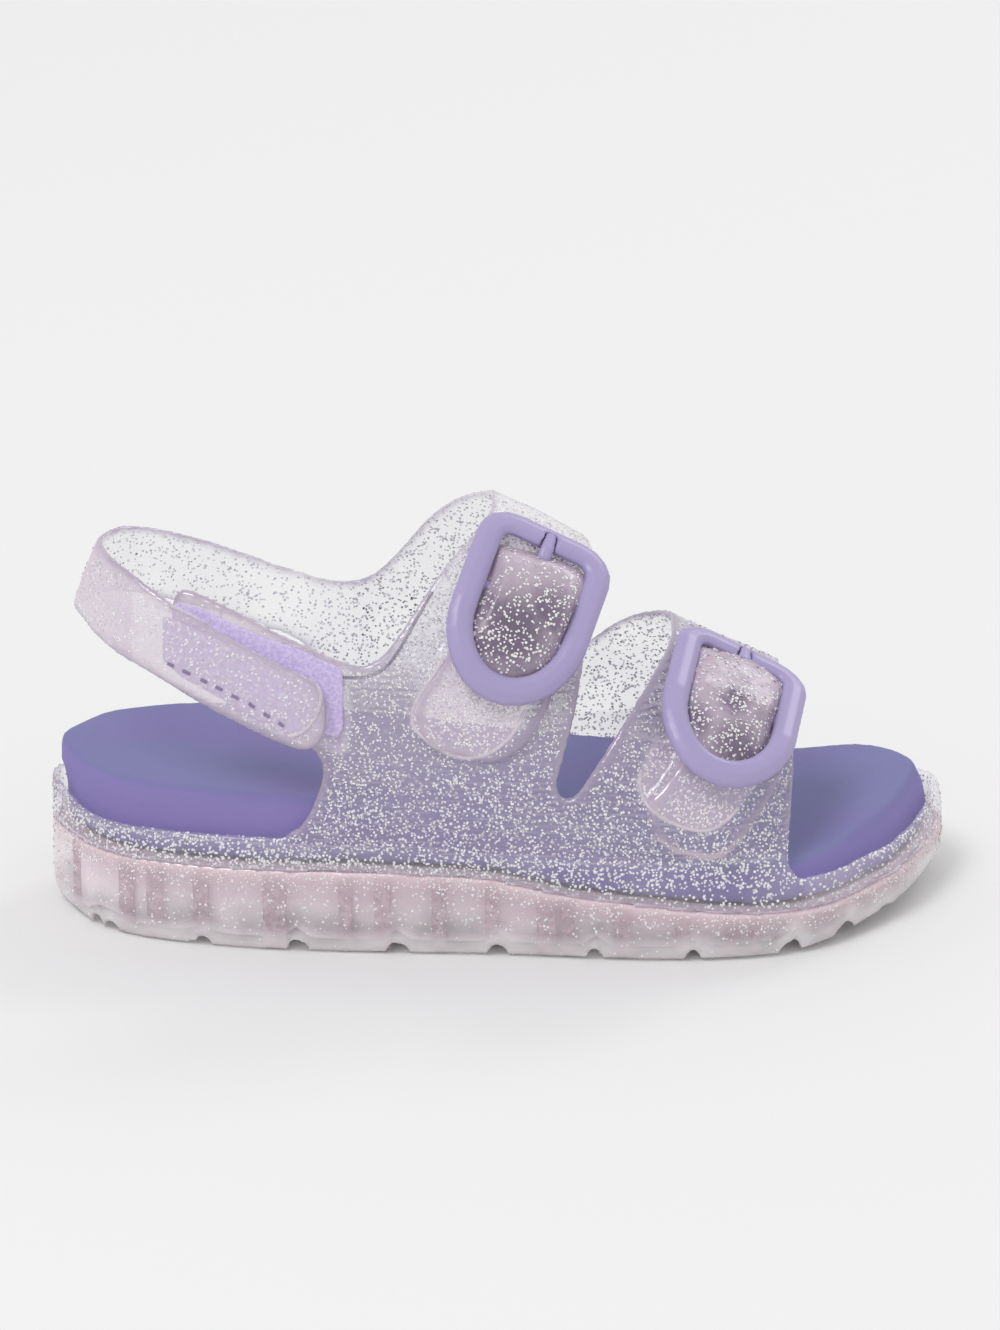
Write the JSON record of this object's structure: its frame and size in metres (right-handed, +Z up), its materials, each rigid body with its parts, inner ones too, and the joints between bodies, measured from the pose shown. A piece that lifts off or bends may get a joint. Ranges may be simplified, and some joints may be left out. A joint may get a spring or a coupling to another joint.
{
  "type": "jelly sandal",
  "caption": "Child's right jelly sandal in clear glitter plastic, with buckled straps over the foot, a hook-and-loop heel strap, a soft footbed and a thick ribbed sole.",
  "frame": {"origin": "middle of the bounding box, on the floor under the sole", "axes": "+X towards the toe, +Y towards the inner (medial) side of the foot, +Z up from the floor"},
  "size_m": [0.1868, 0.0774, 0.0871],
  "materials": {
    "jelly": "clear soft plastic with silver glitter, glossy",
    "sole_jelly": "cloudy pinkish soft plastic with silver glitter",
    "foam": "matt purple foam with a fine grain",
    "lilac_plastic": "glossy lilac plastic",
    "pad": "pale lilac hook-and-loop tape"
  },
  "bodies": {
    "root": {"outsole": "sole_jelly", "footbed": "foam", "upper": "jelly", "loop_patch": "pad", "hook_patch": "pad", "buckle_instep": "lilac_plastic", "buckle_front": "lilac_plastic", "prong_instep": "lilac_plastic", "prong_front": "lilac_plastic"}
  },
  "joints": []
}
